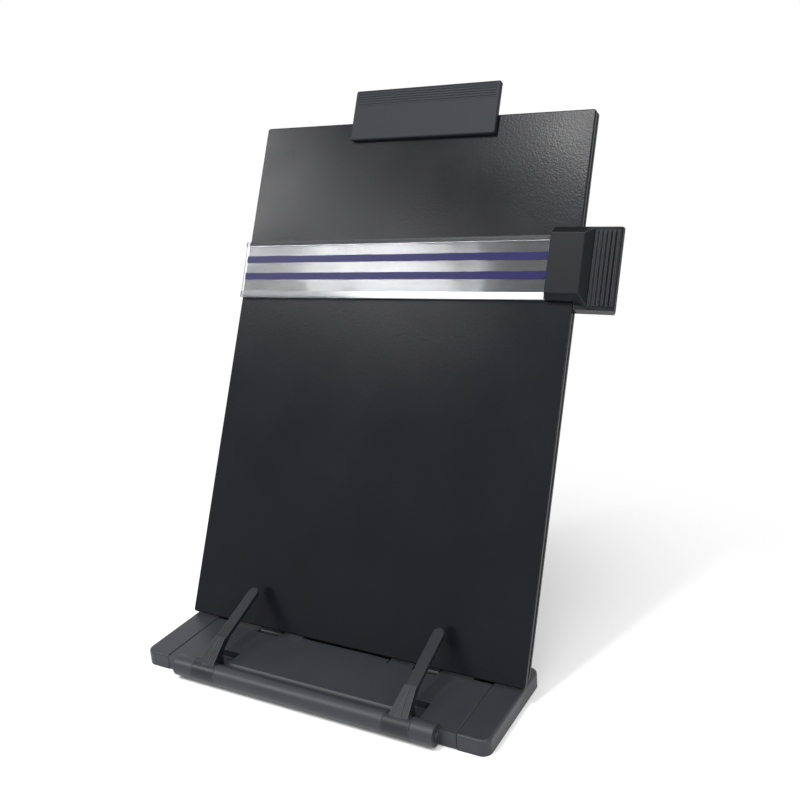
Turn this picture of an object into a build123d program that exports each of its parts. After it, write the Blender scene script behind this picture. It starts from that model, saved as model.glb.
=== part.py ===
from build123d import *
from math import asin, atan, atan2, cos, degrees, hypot, pi, radians, sin, sqrt, tan
import os

# A desk copy holder: a leaning panel on a flat base, with a sprung clip, two page holders
# and a clear line guide on a slider. Millimetres. X runs across, Y away from the reader and
# Z up. The origin is on the desk, midway across, under the foot of the panel's front face.

# ---------------------------------------------------------------- driving dimensions
# Panel, measured on its own face: across, up the face, and out of the face.
panel_w = 210.0
panel_h = 300.0
panel_corner_r = 1.6
lean = 25.0                # back from upright, as it stands in the stored pose
tilt_forward = 4.0         # the one notch that is more upright than the stored pose
tilt_back = 20.0           # the five notches that lean further back
notch_count = 7
sheet_t = 2.6              # front sheet
groove_t = 1.8             # groove between sheet and rear shell
shell_t = 2.1              # rear shell's back plate
groove_depth = 3.0
sheet_foot = 1.8           # how far above the base the front sheet starts
shell_foot = 6.0
panel_edge_r = 0.7
shell_wall = 2.0
rib_t = 1.6
web_inset = 0.15           # of the knuckles' webs, from the sheet and the shell's back

# Base: two end sections with the ledge between them, and a tail with the notches.
base_w = 208.0
base_front = 42.0          # in front of the panel's face
base_rear = 24.0           # behind it
base_t = 8.5
base_corner_r = 5.0
base_edge_r = 1.3
floor_t = 2.5
base_wall = 2.2
trough_y = 12.0            # rear end of the trough that the panel's foot turns in
ledge_w = 175.2
seam_gap = 0.4
ledge_top_t = 2.2
ledge_wall = 2.2
ledge_rear = 1.5
ledge_lip_z = 0.5

# Barrel along the front of the ledge, and the page holders on it.
barrel_y = -43.6
barrel_z = 6.3
barrel_r = 5.6
arm_mid_x = 58.7
arm_knuckle_w = 14.6
end_knuckle_w = 12.0
side_gap = 0.3             # between the knuckles
arm_rod_r = 1.5
wedge_w = 10.0
finger_w = 6.4
finger_t = 2.4
finger_bend = (-29.7, 18.5)
finger_tip = (4.6, 31.6)
wedge_step = 0.6
wedge_foot_run = 4.0       # along the finger, under the bend
root_angles = (106.0, 30.0)  # where the wedge's front and rear leave the knuckle
arm_rib_w = (1.0, 3.2)     # at the bend and at the root
arm_rib_h = 0.6
arm_rib_draft = 25.0
arm_edge_r = 0.5
heel_w = 7.0
heel_reach = 9.8
heel_root = 2.0
pocket_rear = -24.5
pocket_floor_z = 4.1
pocket_wall = 1.5
valley_r = 2.4             # hollow behind the barrel
valley_depth = 0.9

# Panel hinge, in the two slots of the ledge.
pivot_y = 4.2
pivot_z = 5.0
hinge_x = 50.0
hinge_knuckle_w = 14.0
hinge_knuckle_r = 3.3
hinge_block_h = 7.9        # top of the blocks that stand in the slots
hinge_block_gap = 0.5
hinge_pin_hold = 6.0       # length of pin in the inner block
hinge_pin_r = 2.0
slot_near_x = 28.0
slot_far_x = 77.0
slot_front_y = -2.2

# Prop leg behind the panel.
prop_up = 100.0            # its hinge, up the panel
prop_out = 5.0             # its hinge, behind the panel's back
prop_w = 44.0
prop_bar_t = 5.0
prop_knuckle_r = 4.0
prop_foot_r = 3.5
prop_pin_r = 2.0
prop_ear_t = 4.0
prop_ear_foot = 20.0
ear_root_t = 1.0
prop_window_w = 27.0
prop_window_h = 18.0
prop_windows = 3
prop_window_pitch = 25.0
foot_rod_r = 2.0
foot_rod_reach = 7.5       # out of each side of the leg
rail_w = 9.0
rail_h = 10.0
rail_gap = 1.0             # leg to rail
rod_slot_clear = 0.3
notch_drop = 1.1
rod_entry = 8.0            # from the last notch to the opening that the rod goes in by
tail_floor_t = 1.1
tail_end_t = 10.0

# Clip at the top of the panel.
clip_mid_x = 4.4
clip_w = 92.0
clip_lap = 11.6            # below the panel's top edge
clip_rise = 18.4           # above it
clip_back_n = 0.6
clip_front_n = 3.3
clip_corner = 1.3
clip_shell_t = 1.5
clip_rim = 2.0
clip_foot_rim = 5.5
clip_edge_r = 0.8
clip_line_w = 0.7
clip_line_depth = 0.3
clip_line_top = 0.6        # plain strip above the lines
clip_line_pitch = 1.45
clip_lines = 6
clip_field_depth = 0.15
clip_pin_rise = 3.6
clip_pin_n = -2.2
clip_pin_r = 1.5
clip_lug_r = 3.0
clip_lug_x = 16.0
clip_lug_t = 3.0
clip_ear_t = 3.0
clip_ear_foot = 3.0
clip_lug_root_t = 0.6
clip_pad_h = 4.2
clip_pad_inset = 3.0
clip_pad_gap = 0.1

# Line guide, measured up the panel in the stored pose.
guide_lift = 5.6           # its lower edge, above the slider's
guide_h = 33.2
guide_droop = 1.5          # degrees that its free end hangs below level
guide_n = 1.4              # its back, off the panel's face
guide_t = 1.0
guide_socket = 12.0        # length held in the slider
guide_flange_h = 2.8
guide_flange_out = (0.9, 0.3)  # at its foot and at its top
stripe_t = 0.12
stripe_h = 4.1
stripe_ups = (11.9, 22.3)  # middles of the two stripes above the guide's lower edge
stripe_inset = 1.5
lip_h = 3.6
lip_wall = 0.6
lip_sink = 1.0

# Slider on the panel's right edge.
slider_lap = 14.0          # over the panel's face
slider_h = 43.5
slider_high = 236.5
slider_front_n = 6.3
slider_face_w = 18.2
slider_slope_w = 4.2
slider_out = 22.0          # past the panel's edge
slider_clear = 0.5         # to the panel's faces
slider_edge_clear = 0.7
slider_grip_n = 1.6
slider_grip_fall = 0.8
slider_split_n = -2.9
slider_back_t = 2.5
slider_back_arm = 10.0     # reach of the rear arm over the panel's back
slider_corner = 0.8
slider_taper = 2.5         # of the rear half, towards its back
slider_step = 4.0          # how far the block over the panel stops above the grip's foot
slider_edge_r = 0.6
slider_wall = 2.0
tongue_reach = 2.3
tongue_clear = 0.3
slider_chamfer_up = 4.5
slider_chamfer_low = 7.5
grip_ribs = 6
grip_rib_w = 1.1
grip_rib_pitch = 2.3
grip_rib_h = 0.8
slider_screw_out = 10.0
slider_screw_spread = 21.0
slider_boss_r = 3.2
peg_r = 1.45
peg_clear = 0.15
peg_spread = 17.0
leaf_t = 0.3
leaf_w = 5.5
leaf_len = 32.0
leaf_rise = 1.6
leaf_pocket_depth = 1.6

# Springs.
arm_wire_r = 0.4
arm_coil_r = 3.2
arm_coil_pitch = 1.5
arm_coil_quarters = 27
arm_leg = 3.5
arm_recess = 2.8
spring_bore_r = 4.3
spring_slot_w = 1.4
clip_wire_r = 0.45
clip_coil_r = 2.7
clip_coil_pitch = 1.6
clip_coil_quarters = 32
clip_leg_up = 7.5
clip_leg_down = 6.0
clip_stop_h = 2.0

# Fasteners and pads.
panel_screw_x = 70.0
panel_screw_ups = (40.0, 150.0, 260.0)
panel_boss_r = 3.5
panel_head_r = 2.6
panel_head_h = 0.9
panel_shank_r = 1.2
panel_shank_len = 4.2
ledge_screw_x = (20.0, 76.0)
ledge_screw_y = -14.0
ledge_boss_r = 3.5
ledge_head_r = 2.6
ledge_head_h = 1.3
ledge_shank_r = 1.3
ledge_shank_len = 5.0
slider_head_r = 2.6
slider_head_h = 1.0
slider_shank_r = 1.2
slider_shank_len = 7.6
recess_w = 0.7
recess_depth = 0.6
recess_share = 1.2         # its length, in head radii
pad_r = 6.0
pad_t = 1.4
pad_x = 96.0
pad_ys = (-33.0, 15.0)
tail_pad_r = 3.6
tail_pad_x = 22.0

# Clearances.
pin_fit = 0.02             # a pin that is held
pin_run = 0.07             # a pin that turns
screw_hole_clear = 0.3
thread_clear = 0.03
head_clear = 0.3
ear_gap = 0.35             # beside a turning knuckle
seat_gap = 0.05            # a part that rests on another
arm_gap = 0.5              # round a turning knuckle
heel_gap = 0.2
lug_gap = 0.4
cut_over = 1.0             # how far a cut runs past the piece

# ---------------------------------------------------------------- planes and places
panel_t = sheet_t + groove_t + shell_t
lean_sin = sin(radians(lean))
lean_cos = cos(radians(lean))
up_dir = Vector(0, lean_sin, lean_cos)
out_dir = Vector(0, -lean_cos, lean_sin)
face = Plane(origin=(0, 0, base_t), x_dir=(1, 0, 0), z_dir=out_dir)


def side_plane(x):
    """Plane seen from the side of the panel: first up the face, then out of it."""
    return Plane(origin=(x, 0, base_t), x_dir=up_dir, z_dir=(1, 0, 0))


def cross_plane(up):
    """Plane across the panel at a height up its face: first across, then out of the face."""
    return Plane(origin=face.from_local_coords((0, up, 0)), x_dir=(1, 0, 0), z_dir=-up_dir)


def on_panel(y, z):
    """A point of the side view, as (up the face, out of the face)."""
    return y * lean_sin + (z - base_t) * lean_cos, -y * lean_cos + (z - base_t) * lean_sin


pivot = on_panel(pivot_y, pivot_z)
tray_half = ledge_w / 2 + seam_gap
panel_right = panel_w / 2

knuckle_half = hinge_knuckle_w / 2 + ear_gap
hinge_blocks = (
    (slot_near_x + hinge_block_gap, hinge_x - knuckle_half),
    (hinge_x + knuckle_half, slot_far_x - hinge_block_gap),
)
hinge_pin_x = hinge_blocks[0][1] - hinge_pin_hold

prop_hinge_n = -panel_t - prop_out
prop_y = prop_up * lean_sin - prop_hinge_n * lean_cos
prop_z = base_t + prop_up * lean_cos + prop_hinge_n * lean_sin
prop_reach = hypot(prop_y - pivot_y, prop_z - pivot_z)
prop_angle = degrees(atan2(prop_y - pivot_y, prop_z - pivot_z))


def foot_y(tilt):
    """Where the leg's foot stands: pivot, leg hinge and foot make an isosceles triangle."""
    return pivot_y + 2 * prop_reach * sin(radians(prop_angle + tilt))


notch_step = (tilt_forward + tilt_back) / (notch_count - 1)
notch_ys = [foot_y(-tilt_forward + k * notch_step) for k in range(notch_count)]
rail_inner = prop_w / 2 + rail_gap
tail_half = rail_inner + rail_w
rod_slot_half = foot_rod_r + rod_slot_clear
entry_y = notch_ys[-1] + rod_entry
tail_end_y = entry_y + rod_slot_half + tail_end_t

inner_knuckle_x = arm_mid_x - arm_knuckle_w / 2
outer_knuckle_x = arm_mid_x + arm_knuckle_w / 2
end_knuckle_x = outer_knuckle_x + side_gap + end_knuckle_w
barrel_len = 2 * (inner_knuckle_x - side_gap)
arm_coil_x = inner_knuckle_x + arm_recess - 2 * arm_wire_r
arm_coil_len = arm_coil_pitch * arm_coil_quarters / 4
spring_bore_x = arm_coil_x - arm_coil_len - 2 * arm_wire_r

clip_low = panel_h - clip_lap
clip_high = panel_h + clip_rise
clip_pin_up = panel_h + clip_pin_rise

slider_left_x = panel_right - slider_lap
slider_right_x = panel_right + slider_out
slider_low = slider_high - slider_h
slider_face_x = slider_left_x + slider_face_w
slider_slope_x = slider_face_x + slider_slope_w
slider_edge_x = panel_right + slider_edge_clear
slider_rear_n = -panel_t - slider_clear - slider_back_t
slider_mid = (slider_low + slider_high) / 2
guide_low = slider_low + guide_lift
guide_root = face.from_local_coords((slider_left_x + guide_socket / 2, slider_mid, 0))
guide_along = Vector(1, 0, 0).rotate(Axis((0, 0, 0), out_dir), guide_droop)
guide_face = Plane(origin=guide_root, x_dir=guide_along, z_dir=out_dir)
guide_len = slider_left_x + guide_socket / 2 + panel_right
guide_foot = guide_low - slider_mid
guide_top = guide_foot + guide_h
guide_show = guide_len - guide_socket / 2 - slider_clear - guide_h * sin(radians(guide_droop))
peg_spots = [(0, s * peg_spread / 2) for s in (-1, 1)]
panel_screw_spots = [(s * panel_screw_x, up) for s in (-1, 1) for up in panel_screw_ups]
slider_screw_x = panel_right + slider_screw_out
slider_screw_spots = [(slider_screw_x, slider_mid + s * slider_screw_spread / 2) for s in (-1, 1)]
ledge_screw_spots = [(s * x, ledge_screw_y) for s in (-1, 1) for x in ledge_screw_x]

os.makedirs("parts", exist_ok=True)


def save(piece, name):
    """Label a finished piece and write it."""
    piece.part.label = name
    export_step(piece.part, f"parts/{name}.step")


def screw_group(seats, head_r, head_h, shank_r, shank_len):
    """Pan-head screws with a cross recess; each seat plane faces out under the head."""
    with BuildPart() as group:
        for seat in seats:
            with BuildSketch(seat):
                Circle(head_r)
            extrude(amount=head_h)
            with BuildSketch(seat):
                Circle(shank_r)
            extrude(amount=-shank_len)
            with BuildSketch(seat.offset(head_h)):
                Rectangle(head_r * recess_share, recess_w)
                Rectangle(recess_w, head_r * recess_share)
            extrude(amount=-recess_depth, mode=Mode.SUBTRACT)
    return group


def wound_spring(coil, coil_r, wire_r, pitch, quarters, leg_in, leg_out):
    """A coil about the plane's normal from its X direction, in quarter-turn arcs."""
    rise = pitch / 4
    chord = coil_r * sqrt(2)
    slope = atan(cos(pi / 4) * rise / chord)

    def place(k):
        turn = pi / 2 * k
        return coil.from_local_coords((coil_r * cos(turn), coil_r * sin(turn), rise * k))

    heading = coil.y_dir * cos(slope) + coil.z_dir * sin(slope)
    with BuildPart() as spring:
        with BuildLine() as wire:
            Line(place(0) - heading * leg_in, place(0))
            for k in range(quarters):
                arc = TangentArc(place(k), place(k + 1), tangent=heading)
                heading = arc % 1
            Line(place(quarters), place(quarters) + heading * leg_out)
        with BuildSketch(Plane(origin=wire.line @ 0, z_dir=wire.line % 0)):
            Circle(wire_r)
        sweep()
    print(f"coil of {quarters / 4} turns, least gap {pitch * cos(slope) - 2 * wire_r:.2f} mm")
    return spring


# ---------------------------------------------------------------- panel
with BuildPart() as panel_front:
    with BuildSketch(face):
        with Locations((0, (sheet_foot + panel_h) / 2)):
            RectangleRounded(panel_w, panel_h - sheet_foot, panel_corner_r)
    extrude(amount=-sheet_t)
    fillet(panel_front.faces().sort_by(Axis((0, 0, 0), out_dir))[-1].edges(), panel_edge_r)
    with BuildSketch(face.offset(-sheet_t)):
        with Locations(*panel_screw_spots):
            Circle(panel_boss_r)
    extrude(amount=-groove_t)
    with BuildSketch(face.offset(-sheet_t - groove_t)):
        with Locations(*panel_screw_spots):
            Circle(panel_shank_r + thread_clear)
    extrude(amount=panel_shank_len - shell_t + panel_head_h + head_clear, mode=Mode.SUBTRACT)
save(panel_front, "panel_front")

panel_mid_up = (shell_foot + panel_h) / 2
panel_field_h = panel_h - shell_foot
web_top = shell_foot + rib_t
with BuildPart() as panel_back:
    with BuildSketch(face.offset(-panel_t)):
        with Locations((0, panel_mid_up)):
            RectangleRounded(panel_w, panel_field_h, panel_corner_r)
    extrude(amount=shell_t)
    fillet(panel_back.faces().sort_by(Axis((0, 0, 0), out_dir))[0].edges(), panel_edge_r)
    # the wall set in from the edge, which leaves the groove, and the ribs inside it
    with BuildSketch(face.offset(shell_t - panel_t)):
        with Locations((0, panel_mid_up)):
            Rectangle(panel_w - 2 * groove_depth, panel_field_h - 2 * groove_depth)
            Rectangle(
                panel_w - 2 * groove_depth - 2 * shell_wall,
                panel_field_h - 2 * groove_depth - 2 * shell_wall,
                mode=Mode.SUBTRACT,
            )
            with Locations((-panel_screw_x / 2, 0), (panel_screw_x / 2, 0)):
                Rectangle(rib_t, panel_field_h - 2 * groove_depth)
    extrude(amount=groove_t)
    for side in (-1, 1):
        # knuckle of the panel's hinge, with the web that joins it to the shell
        with BuildSketch(side_plane(side * hinge_x)):
            with Locations(pivot):
                Circle(hinge_knuckle_r)
            with Locations(((pivot[0] + web_top) / 2, (-sheet_t - panel_t) / 2)):
                Rectangle(web_top - pivot[0], groove_t + shell_t - 2 * web_inset)
            with Locations(pivot):
                Circle(hinge_pin_r + pin_run, mode=Mode.SUBTRACT)
        extrude(amount=hinge_knuckle_w / 2, both=True)
        # ear for the prop leg's pin
        ear_x = side * (prop_w / 2 + ear_gap + prop_ear_t / 2)
        with BuildSketch(side_plane(ear_x)):
            with Locations((prop_up, prop_hinge_n)):
                Circle(prop_knuckle_r)
            with Locations((prop_up, -panel_t + ear_root_t / 2)):
                Rectangle(prop_ear_foot, ear_root_t)
            make_hull()
            with Locations((prop_up, prop_hinge_n)):
                Circle(prop_pin_r + pin_fit, mode=Mode.SUBTRACT)
        extrude(amount=prop_ear_t / 2, both=True)
        # ear for the clip's pin
        clip_ear_x = clip_mid_x + side * (clip_lug_x + clip_lug_t / 2 + ear_gap + clip_ear_t / 2)
        with BuildSketch(side_plane(clip_ear_x)):
            with Locations((clip_pin_up, clip_pin_n)):
                Circle(clip_lug_r)
            with Locations((panel_h + clip_lug_root_t, -panel_t + shell_t / 2)):
                Rectangle(clip_lug_root_t, shell_t)
            make_hull()
            with Locations((panel_h + clip_lug_root_t - clip_ear_foot / 2, -panel_t + shell_t / 2)):
                Rectangle(clip_ear_foot, shell_t)
            with Locations((clip_pin_up, clip_pin_n)):
                Circle(clip_pin_r + pin_fit, mode=Mode.SUBTRACT)
        extrude(amount=clip_ear_t / 2, both=True)
    # screw holes, counterbored from behind
    with BuildSketch(face.offset(-panel_t)):
        with Locations(*panel_screw_spots):
            Circle(panel_head_r + head_clear)
    extrude(amount=panel_head_h + head_clear / 2, mode=Mode.SUBTRACT)
    with BuildSketch(face.offset(-panel_t)):
        with Locations(*panel_screw_spots):
            Circle(panel_shank_r + screw_hole_clear)
    extrude(amount=shell_t, mode=Mode.SUBTRACT)
save(panel_back, "panel_back")

panel_seats = [
    Plane(
        origin=face.from_local_coords((x, up, -panel_t + panel_head_h + head_clear / 2)),
        x_dir=(1, 0, 0),
        z_dir=-out_dir,
    )
    for x, up in panel_screw_spots
]
panel_screws = screw_group(panel_seats, panel_head_r, panel_head_h, panel_shank_r, panel_shank_len)
save(panel_screws, "panel_screws")

# ---------------------------------------------------------------- base
with BuildPart() as base_frame:
    with BuildSketch():
        with Locations((0, (base_rear - base_front) / 2)):
            RectangleRounded(base_w, base_front + base_rear, base_corner_r)
    extrude(amount=base_t)
    fillet(base_frame.faces().sort_by(Axis.Z)[-1].edges(), base_edge_r)
    # the tray that takes the ledge, open at the front, and the trough behind it
    with BuildSketch(Plane.XY.offset(floor_t)):
        with Locations((0, (trough_y - base_front) / 2)):
            Rectangle(2 * tray_half, trough_y + base_front)
    extrude(amount=base_t, mode=Mode.SUBTRACT)
    with BuildSketch():
        with Locations((0, -base_front)):
            Rectangle(2 * tray_half, 2 * (base_front + barrel_y + barrel_r))
    extrude(amount=base_t, mode=Mode.SUBTRACT)
    # hollows under the end sections and the rear bar
    end_mid_x = (tray_half + base_w / 2) / 2
    end_w = base_w / 2 - tray_half - 2 * base_wall
    hollow_y = (pad_ys[0] + pad_ys[1]) / 2
    with BuildSketch():
        with Locations((-end_mid_x, hollow_y), (end_mid_x, hollow_y)):
            Rectangle(end_w, pad_ys[1] - pad_ys[0] - 2 * pad_r - 2 * base_wall)
        bar_mid_y = (trough_y + base_rear) / 2
        bar_from = tail_half + base_wall
        bar_to = tray_half - base_wall
        for side in (-1, 1):
            with Locations((side * (bar_from + bar_to) / 2, bar_mid_y)):
                Rectangle(bar_to - bar_from, base_rear - trough_y - 2 * base_wall)
    extrude(amount=base_t - base_wall, mode=Mode.SUBTRACT)
    # tail: thin floor, two rails and an end bar
    with BuildSketch():
        with Locations((0, (base_rear + tail_end_y) / 2)):
            Rectangle(2 * tail_half, tail_end_y - base_rear)
    extrude(amount=tail_floor_t)
    with BuildSketch():
        rail_x = (rail_inner + tail_half) / 2
        with Locations((-rail_x, (base_rear + tail_end_y) / 2), (rail_x, (base_rear + tail_end_y) / 2)):
            Rectangle(rail_w, tail_end_y - base_rear)
        with Locations((0, tail_end_y - tail_end_t / 2)):
            Rectangle(2 * tail_half, tail_end_t)
    extrude(amount=rail_h)
    with BuildSketch(Plane.YZ):
        slot_len = entry_y - notch_ys[0]
        with Locations(((notch_ys[0] + entry_y) / 2, pivot_z)):
            SlotCenterToCenter(slot_len, 2 * rod_slot_half)
        with Locations(*[(y, pivot_z - notch_drop) for y in notch_ys]):
            Circle(rod_slot_half)
        with Locations((entry_y, (pivot_z + rail_h + cut_over) / 2)):
            Rectangle(2 * rod_slot_half, rail_h + cut_over - pivot_z)
    extrude(amount=prop_w / 2 + foot_rod_reach + lug_gap, both=True, mode=Mode.SUBTRACT)
    # windows in the floor under the knuckles
    window_y = (slot_front_y + trough_y) / 2
    window_h = trough_y - slot_front_y - base_wall
    with BuildSketch():
        with Locations((-hinge_x, window_y), (hinge_x, window_y)):
            Rectangle(hinge_knuckle_w + 2 * ear_gap, window_h)
    extrude(amount=floor_t, mode=Mode.SUBTRACT)
    # blocks for the hinge pins, which stand in the ledge's slots
    block_front = slot_front_y + hinge_block_gap
    block_rear = pivot_y + hinge_knuckle_r
    block_h = hinge_block_h - floor_t
    for side in (-1, 1):
        for low_x, high_x in hinge_blocks:
            with BuildSketch(Plane.YZ.offset(side * low_x)):
                with Locations(((block_front + block_rear) / 2, floor_t + block_h / 2)):
                    Rectangle(block_rear - block_front, block_h)
            extrude(amount=side * (high_x - low_x))
        with BuildSketch(Plane.YZ.offset(side * hinge_pin_x)):
            with Locations((pivot_y, pivot_z)):
                Circle(hinge_pin_r + pin_fit)
        extrude(amount=side * (slot_far_x - hinge_pin_x), mode=Mode.SUBTRACT)
    # screw holes for the ledge, counterbored from below, and seats for the pads
    with BuildSketch():
        with Locations(*ledge_screw_spots):
            Circle(ledge_head_r + head_clear)
    extrude(amount=ledge_head_h + head_clear / 2, mode=Mode.SUBTRACT)
    with BuildSketch():
        with Locations(*ledge_screw_spots):
            Circle(ledge_shank_r + screw_hole_clear)
    extrude(amount=floor_t, mode=Mode.SUBTRACT)
    with BuildSketch():
        with Locations(*[(s * pad_x, y) for s in (-1, 1) for y in pad_ys]):
            Circle(pad_r + pin_fit)
        with Locations(*[(s * tail_pad_x, tail_end_y - tail_end_t / 2) for s in (-1, 1)]):
            Circle(tail_pad_r + pin_fit)
    extrude(amount=pad_t, mode=Mode.SUBTRACT)
save(base_frame, "base_frame")

with BuildPart() as base_pads:
    with BuildSketch():
        with Locations(*[(s * pad_x, y) for s in (-1, 1) for y in pad_ys]):
            Circle(pad_r)
        with Locations(*[(s * tail_pad_x, tail_end_y - tail_end_t / 2) for s in (-1, 1)]):
            Circle(tail_pad_r)
    extrude(amount=pad_t)
save(base_pads, "base_pads")

ledge_seats = [
    Plane(origin=(x, y, ledge_head_h + head_clear / 2), x_dir=(1, 0, 0), z_dir=(0, 0, -1))
    for x, y in ledge_screw_spots
]
ledge_screws = screw_group(ledge_seats, ledge_head_r, ledge_head_h, ledge_shank_r, ledge_shank_len)
save(ledge_screws, "ledge_screws")

with BuildPart() as hinge_pins:
    for side in (-1, 1):
        with BuildSketch(Plane.YZ.offset(side * (hinge_pin_x + seat_gap))):
            with Locations((pivot_y, pivot_z)):
                Circle(hinge_pin_r)
        extrude(amount=side * (hinge_blocks[1][1] - hinge_block_gap - hinge_pin_x))
save(hinge_pins, "hinge_pins")

# ---------------------------------------------------------------- ledge
barrel = (barrel_y, barrel_z)
with BuildPart() as ledge:
    with BuildSketch(Plane.XY.offset(floor_t)):
        with Locations((0, (ledge_rear - base_front) / 2)):
            Rectangle(ledge_w, ledge_rear + base_front)
    extrude(amount=base_t - floor_t)
    # front lip below the level of the tray's floor
    lip_t = base_front + barrel_y + barrel_r - seam_gap
    with BuildSketch(Plane.XY.offset(ledge_lip_z)):
        with Locations((0, -base_front + lip_t / 2)):
            Rectangle(ledge_w, lip_t)
    extrude(amount=base_t - ledge_lip_z)
    chamfer(
        ledge.edges().filter_by(Axis.Y).group_by(Axis.Z)[-1].sort_by(Axis.X)[0], seam_gap
    )
    chamfer(
        ledge.edges().filter_by(Axis.Y).group_by(Axis.Z)[-1].sort_by(Axis.X)[-1], seam_gap
    )
    # hollow underside
    hollow_front = barrel_y + barrel_r + ledge_wall
    hollow_rear = slot_front_y - ledge_wall
    with BuildSketch(Plane.XY.offset(floor_t)):
        with Locations((0, (hollow_front + hollow_rear) / 2)):
            Rectangle(ledge_w - 2 * ledge_wall, hollow_rear - hollow_front)
    extrude(amount=base_t - floor_t - ledge_top_t, mode=Mode.SUBTRACT)
    with BuildSketch(Plane.XY.offset(floor_t)):
        with Locations(*ledge_screw_spots):
            Circle(ledge_boss_r)
    extrude(amount=base_t - floor_t - ledge_top_t)
    with BuildSketch(Plane.XY.offset(floor_t)):
        with Locations(*ledge_screw_spots):
            Circle(ledge_shank_r + thread_clear)
    extrude(amount=ledge_shank_len - floor_t + ledge_head_h + head_clear, mode=Mode.SUBTRACT)
    pocket_front = barrel_y + barrel_r + 2 * arm_gap
    for side in (-1, 1):
        # block round each heel pocket
        with BuildSketch(Plane.XY.offset(floor_t)):
            with Locations((side * arm_mid_x, (hollow_front + pocket_rear) / 2 + pocket_wall / 2)):
                Rectangle(
                    arm_knuckle_w + 2 * side_gap + 2 * pocket_wall,
                    pocket_rear - hollow_front + pocket_wall,
                )
        extrude(amount=base_t - floor_t)
    # barrel: middle stretch and the two end knuckles
    with BuildSketch(Plane.YZ):
        with Locations(barrel):
            Circle(barrel_r)
    extrude(amount=barrel_len / 2, both=True)
    for side in (-1, 1):
        with BuildSketch(Plane.YZ.offset(side * (outer_knuckle_x + side_gap + end_knuckle_w / 2))):
            with Locations(barrel):
                Circle(barrel_r)
        extrude(amount=end_knuckle_w / 2, both=True)
        # room for the arm's knuckle, and the pocket for its heel
        with BuildSketch():
            with Locations((side * arm_mid_x, -base_front - barrel_r)):
                Rectangle(arm_knuckle_w + 2 * side_gap, 2 * (base_front + barrel_r + pocket_front))
        extrude(amount=2 * base_t, mode=Mode.SUBTRACT)
        with BuildSketch(Plane.XY.offset(pocket_floor_z)):
            with Locations((side * arm_mid_x, (pocket_front + pocket_rear) / 2)):
                Rectangle(arm_knuckle_w + 2 * side_gap, pocket_rear - pocket_front)
        extrude(amount=base_t, mode=Mode.SUBTRACT)
        # slot for the panel's hinge
        with BuildSketch():
            with Locations((side * (slot_near_x + slot_far_x) / 2, (slot_front_y + ledge_rear) / 2)):
                Rectangle(slot_far_x - slot_near_x, ledge_rear - slot_front_y)
        extrude(amount=base_t, mode=Mode.SUBTRACT)
        # bore for the coil of the arm's spring
        with BuildSketch(Plane.YZ.offset(side * spring_bore_x)):
            with Locations(barrel):
                Circle(spring_bore_r)
        extrude(amount=side * (barrel_len / 2 - spring_bore_x), mode=Mode.SUBTRACT)
    # shallow hollow behind the barrel
    valley_half = sqrt(valley_r**2 - (valley_r - valley_depth) ** 2)
    barrel_rear = barrel_y + sqrt(barrel_r**2 - (base_t - barrel_z) ** 2)
    with BuildSketch(Plane.YZ):
        with Locations((barrel_rear + valley_half, base_t + valley_r - valley_depth)):
            Circle(valley_r)
    extrude(amount=barrel_len / 2, both=True, mode=Mode.SUBTRACT)
    # bore for the rod
    with BuildSketch(Plane.YZ):
        with Locations(barrel):
            Circle(arm_rod_r + pin_fit)
    extrude(amount=end_knuckle_x + cut_over, both=True, mode=Mode.SUBTRACT)
save(ledge, "ledge")

with BuildPart() as arm_rod:
    with BuildSketch(Plane.YZ):
        with Locations(barrel):
            Circle(arm_rod_r)
    extrude(amount=end_knuckle_x - seat_gap, both=True)
save(arm_rod, "arm_rod")

# ---------------------------------------------------------------- page holders
finger = Vector(finger_tip[0] - finger_bend[0], finger_tip[1] - finger_bend[1]).normalized()
finger_up = Vector(-finger.Y, finger.X)
bend_top = Vector(*finger_bend) + finger_up * (finger_t / 2)
bend_low = Vector(*finger_bend) - finger_up * (finger_t / 2)
tip_top = Vector(*finger_tip) + finger * finger_t + finger_up * (finger_t / 2)
tip_low = Vector(*finger_tip) + finger * finger_t - finger_up * (finger_t / 2)
barrel_at = Vector(*barrel)
root_front = barrel_at + Vector(barrel_r, 0).rotate(Axis.Z, root_angles[0])
root_rear = barrel_at + Vector(barrel_r, 0).rotate(Axis.Z, root_angles[1])
wedge_top = bend_top + finger_up * wedge_step
wedge_foot = bend_low + finger * wedge_foot_run
heel_low_z = pocket_floor_z + heel_gap
heel_y = barrel_y + heel_reach


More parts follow.
